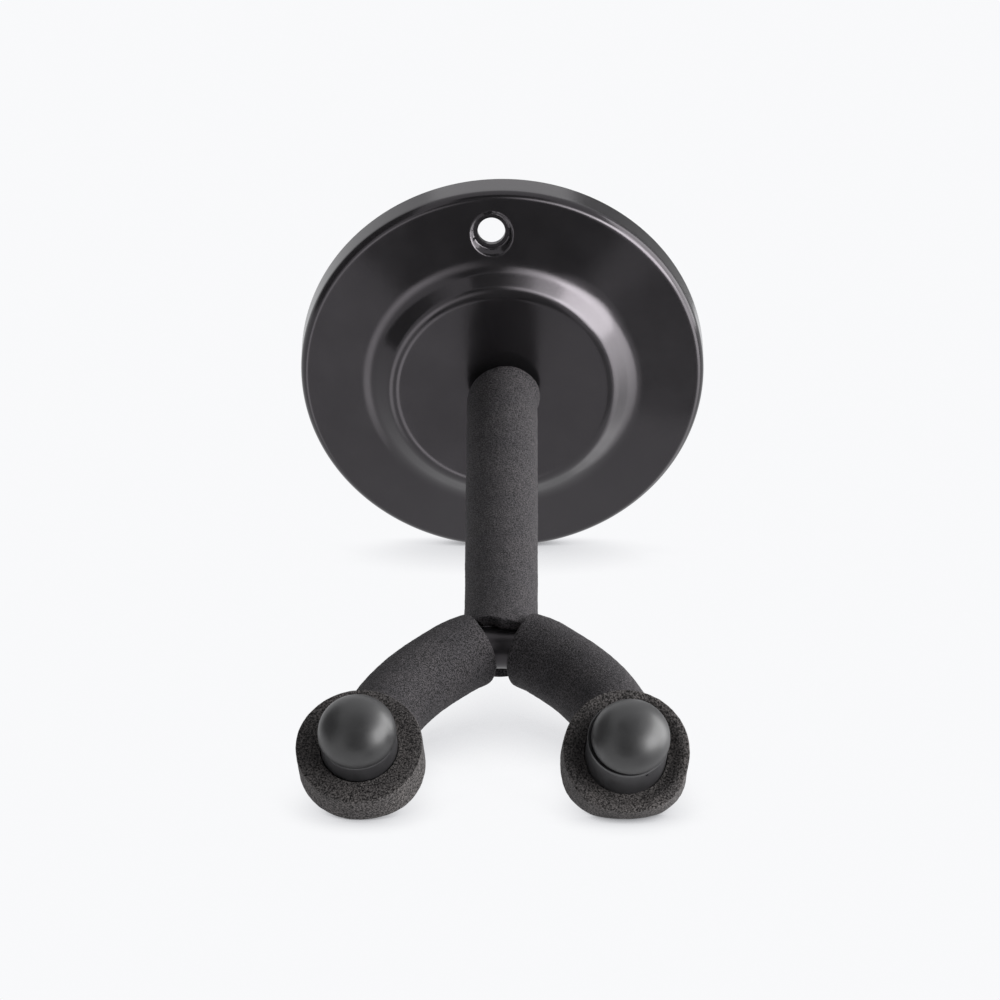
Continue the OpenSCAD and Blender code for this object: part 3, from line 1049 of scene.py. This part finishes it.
DOME_STEPS = 48


def dome_profile(radius, side_height, dome_height):
    """A full, slightly flattened dome from its top to its edge."""
    points = []
    for i in range(DOME_STEPS + 1):
        a = pi / 2 * i / DOME_STEPS
        points.append((radius * sin(a) ** (2 / DOME_POWER),
                       side_height + dome_height * max(cos(a), 0.0) ** (2 / DOME_POWER)))
    return points


def mark_painted_side_light(piece, place, side, top):
    """Marks the straight side of a cap, up to the height top on the tip's axis, where painted
    light makes the rubber greyer.
    """
    coords = read_points(piece.data.vertices, "co") / MM * np.array((SIGN[side], 1.0, 1.0))
    heights = (coords - place[:3, 3]) @ place[:3, 2]
    mark_points(piece.data, "painted_side_light", (heights < top).astype(np.float32))


CAP_AROUND = 144
# How far under the dome's edge the groove is, and the radius of the cap's lower edge
GROOVE_DROP = 0.25
CAP_EDGE_R = 0.3
# The right cap's moulding vent: where round the cap it is, its radius, and how far under the edge
VENT_ANGLE = radians(-62)
VENT_R = 0.42
VENT_DROP = 1.9


def make_end_cap(side, material):
    """A cap turned from its dome's top, round the groove under the dome, and into its socket."""
    r, dome, high = CAP_R[side], DOME_R[side], CAP_SIDE[side]
    profile = dome_profile(dome, high, CAP_DOME[side])
    profile += [(dome - 0.03, high - 0.12), (dome - 0.15, high - 0.2), (dome - 0.75, high - 0.6),
                (dome - 0.7, high - 0.75), (r - 0.1, high - 0.32), (r, high - 0.42),
                (r, high - 1.2)]
    run_to(profile, (r, CAP_EDGE_R), steps=14)
    profile += arc((r - CAP_EDGE_R, CAP_EDGE_R), CAP_EDGE_R, 0, -90, steps=4)[1:]
    run_to(profile, (SLEEVE_BORE_R, 0.0), steps=4)
    run_to(profile, (SLEEVE_BORE_R, SOCKET_DEPTH), steps=6)
    run_to(profile, (0.0, SOCKET_DEPTH), steps=4)
    place = tip_place(side, -CAP_SINK[side], CAP_LEAN[side])
    piece = lathe(f"{SIDES[side]}_cap_moulded", profile, CAP_AROUND, place, material,
                  [f"{SIDES[side]}_end_cap"], mirror=SIGN[side],
                  shift=lambda h: DOME_SHIFT[side] if h > high - GROOVE_DROP else 0.0)
    if side == RIGHT:
        across, down = cos(VENT_ANGLE), sin(VENT_ANGLE)
        at = place @ np.array([r * across, r * down, high - VENT_DROP, 1])
        axis = place[:3, :3] @ np.array([across, down, 0])
        cut(piece, [cylinder_cutter(at[:3], axis, VENT_R, length=3.0, segments=24)])
        finish_piece(piece, "arm", material)
    mark_painted_side_light(piece, place, side, high - GROOVE_DROP)
    sharpen(piece, 50)


def hex_radius(angle):
    sixth = pi / 3
    return NUT_FLATS / 2 / cos((angle + sixth / 2) % sixth - sixth / 2)


NUT_AROUND, NYLON_AROUND = 180, 96
NUT_BORE_R = 4.1
COLLAR_R, COLLAR_BEND_R, COLLAR_LIP = 5.9, 0.7, 0.95
# How far inside the corners the chamfers start, and how far past them the turned section goes
NUT_CHAMFER, NUT_OVER = 0.9, 0.1


def make_lock_nut(zinc, milky):
    """A self-locking nut: a chamfered hexagon with a collar that holds a nylon ring."""
    back = out_from_wall(NUT_BACK)
    corner = NUT_FLATS / 2 / cos(pi / 6)
    profile = [(NUT_BORE_R, NUT_T), (corner - NUT_CHAMFER, NUT_T),
               (corner + NUT_OVER, NUT_T - 0.6)]
    run_to(profile, (corner + NUT_OVER, 2.4), steps=6)
    profile += [(corner - NUT_CHAMFER, 1.8), (COLLAR_R + 0.15, 1.7), (COLLAR_R, 1.5),
                (COLLAR_R, COLLAR_BEND_R)]
    profile += arc((COLLAR_R - COLLAR_BEND_R, COLLAR_BEND_R), COLLAR_BEND_R, 0, -90, steps=6)[1:]
    profile += [(COLLAR_R - COLLAR_LIP, 0.05), (COLLAR_R - COLLAR_LIP, 0.35), (NUT_BORE_R, 0.35)]
    nut = lathe("lock_nut_steel", profile, NUT_AROUND, back, zinc, ["lock_nut"],
                limit=hex_radius)
    sharpen(nut, 25)
    ring = [(3.95, 0.3), (4.85, 0.3), (4.9, 0.22), (4.9, 0.14), (4.6, 0.06), (4.2, 0.1),
            (3.95, 0.2)]
    insert = lathe("lock_nut_nylon", ring, NYLON_AROUND, back, milky)
    sharpen(insert, 40)


ARM_AROUND = 64
THREAD_PITCH, THREAD_DEPTH, THREAD_STEP = 1.25, 0.55, 0.16
# The thread deepens from the spigot's end and runs out at the shoulder over these lengths
THREAD_RUN_IN, THREAD_RUN_OUT = 1.0, 2.5
SPIGOT_CHAMFER, SHOULDER_CHAMFER = 0.5, 0.4
ARM_STEP = 5


def make_arm_rod(material):
    """The arm's rod with a chamfered shoulder and a rolled thread on its spigot."""
    shoulder = BOSS_DEPTH + TURNING_GAP
    count = int((shoulder - SPIGOT_END) / THREAD_STEP)
    angles = np.linspace(0, 2 * pi, ARM_AROUND, endpoint=False)
    coords = []

    def ring(s, radii):
        m = arm_frame(s)
        for a, r in zip(angles, radii):
            coords.append(placed(m, r * cos(a), 0, r * sin(a)))

    for i in range(count + 1):
        s = SPIGOT_END + (shoulder - SPIGOT_END) * i / count
        phase = (s / THREAD_PITCH - angles / (2 * pi)) % 1.0
        groove = 1.0 - np.abs(2.0 * phase - 1.0)
        fade = min(1.0, (s - SPIGOT_END) / THREAD_RUN_IN, (shoulder - s) / THREAD_RUN_OUT)
        chamfer = max(0.0, SPIGOT_CHAMFER - (s - SPIGOT_END))
        ring(s, SPIGOT_R - THREAD_DEPTH * groove * max(fade, 0.0) - chamfer)
    ring(shoulder, np.full(ARM_AROUND, ROD_R - SHOULDER_CHAMFER))
    ring(shoulder + SHOULDER_CHAMFER, np.full(ARM_AROUND, ROD_R))
    for s in np.arange(shoulder + ARM_STEP, ARM_REACH - ROD_R, ARM_STEP):
        ring(s, np.full(ARM_AROUND, ROD_R))
    ring(ARM_REACH - ROD_R, np.full(ARM_AROUND, ROD_R))
    faces = rod_faces(len(coords) // ARM_AROUND, ARM_AROUND)
    piece = new_piece("arm_rod_threaded", coords, faces, material, ["arm_rod"])
    sharpen(piece, 35)


# The weld: points round and across it, its ripples, how far it bulges sideways and what share of
# that up and back, how far back it reaches on the arm, how far up and down on the yoke's rod, and
# the radius of its hidden back
WELD_AROUND, WELD_ACROSS = 96, 10
RIPPLES, RIPPLE_HEIGHT, RIPPLE_SHARE = 15, 0.14, 0.25
WELD_BULGE, BULGE_UP, BULGE_BACK = 0.45, 0.8, 0.3
WELD_BACK = 2.6
WELD_HALF_HEIGHT = 4.7
WELD_BACK_R = 4.0


def make_weld(material):
    """A fillet weld from the arm's end onto the back of the yoke rod, with ripples."""
    around, across = WELD_AROUND, WELD_ACROSS
    turns = [2 * pi * j / around for j in range(around)]
    coords = []
    for a in turns:
        reach = min(WELD_R, WELD_HALF_HEIGHT / max(abs(sin(a)), 1e-6))
        x1, z1 = reach * cos(a), reach * sin(a)
        f1 = ARM_REACH - math.sqrt(max(ROD_R ** 2 - z1 ** 2, 0.0))
        x0, z0 = ROD_R * cos(a), ROD_R * sin(a)
        f0 = ARM_REACH - ROD_R - WELD_BACK + RIPPLE_HEIGHT * sin(a * RIPPLES)
        for i in range(across):
            t = i / (across - 1)
            bulge = (WELD_BULGE * sin(pi * t)
                     * (1 + RIPPLE_SHARE * sin(a * RIPPLES)))
            x = x0 + (x1 - x0) * t + bulge * cos(a)
            z = z0 + (z1 - z0) * t + bulge * sin(a) * BULGE_UP
            f = f0 + (f1 - f0) * t - bulge * BULGE_BACK
            coords.append((x * MM, -f * MM, z * MM))
    back = len(coords)
    for a in turns:
        coords.append((WELD_BACK_R * cos(a) * MM, -(ARM_REACH - ROD_R) * MM,
                       WELD_BACK_R * sin(a) * MM))
    faces = []
    for j in range(around):
        k = (j + 1) % around
        a, b = j * across, k * across
        for i in range(across - 1):
            faces.append((a + i, a + i + 1, b + i + 1, b + i))
        faces.append((a + across - 1, back + j, back + k, b + across - 1))
        faces.append((a, b, back + k, back + j))
    new_piece("yoke_fillet_weld", coords, faces, material, ["yoke_weld"])


# -------- floor
# How far the foam discs sink into the floor, in millimetres
SETTLE = 0.35
# Half the floor's width, where its middle is in front of the plate, and how far from the object
# it shows its soft contact shade, in metres
FLOOR_HALF = 0.9
FLOOR_FORWARD = 0.11
CONTACT_REACH = 0.032
CONTACT_SAMPLES = 16


def floor_place():
    """The floor touches the plate's lower edge, and the foam discs settle on it a little."""
    settle = SETTLE * MM
    pivot = Vector((0.0, -(PLATE_DEPTH - RIM_BEND_R) * MM, -PLATE_R * MM))
    slopes = []
    for name in ("left_foam_disc", "right_foam_disc"):
        slopes.append(min((v.co.z + settle - pivot.z) / (pivot.y - v.co.y)
                          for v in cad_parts[name].data.vertices))
    return pivot, math.atan(sum(slopes) / len(slopes))


def make_floor():
    """A clear sheet that only darkens what is behind it, close to the object."""
    pivot, tilt = floor_place()
    floor = new_object("floor", plane_mesh("floor", FLOOR_HALF, FLOOR_HALF))
    floor.matrix_world = Matrix.Translation(pivot) @ Matrix.Rotation(-tilt, 4, "X") @ \
        Matrix.Translation((0.0, -FLOOR_FORWARD, 0.0))
    material, tree, shader = new_material("floor_contact_shade")
    tree.nodes.remove(shader)
    shade = tree.nodes.new("ShaderNodeAmbientOcclusion")
    shade.samples = CONTACT_SAMPLES
    shade.inputs["Distance"].default_value = CONTACT_REACH
    tone = ramp_node(tree, shade.outputs["AO"],
                     [(0.0, (0.12, 0.12, 0.125)), (0.3, (0.75, 0.75, 0.76)), (0.75, WHITE)])
    clear = tree.nodes.new("ShaderNodeBsdfTransparent")
    tree.links.new(tone, clear.inputs["Color"])
    tree.links.new(clear.outputs["BSDF"], tree.nodes["Material Output"].inputs["Surface"])
    floor.data.materials.append(material)
    floor.visible_glossy = False


# -------- the scene
add_camera()
add_world()
add_lights()
bpy.context.scene.view_settings.view_transform = "Standard"

plate_coat = black_coat("plate_powder_coat", peel_height=0.005, roughness=0.17)
rod_coat = black_coat("rod_powder_coat", peel_height=0.010, roughness=0.33)
sleeve_foam = foam("sleeve_foam_rubber", dark=(0.004, 0.004, 0.0042),
                   light=(0.084, 0.0786, 0.084), grain=0.27, pore_height=0.10)
disc_foam = foam("disc_foam_rubber", dark=(0.004, 0.0038, 0.0036),
                 light=(0.146, 0.1364, 0.134), grain=0.33, pore_height=0.13)
cap_rubber = moulded_rubber("cap_moulded_rubber")
zinc = zinc_plate("zinc_plated_steel")

make_base_plate(plate_coat)
make_arm_rod(rod_coat)
make_yoke_rod(rod_coat)
make_weld(rod_coat)
make_arm_sleeve(sleeve_foam)
for side in (LEFT, RIGHT):
    make_prong_sleeve(side, sleeve_foam)
    make_foam_disc(side, disc_foam)
    make_end_cap(side, cap_rubber)

make_lock_nut(zinc, nylon("nylon_insert"))

for node in ("backing_disc", "flat_washer"):
    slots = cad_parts[node].data.materials
    for index in range(len(slots)):
        slots[index] = zinc

make_floor()
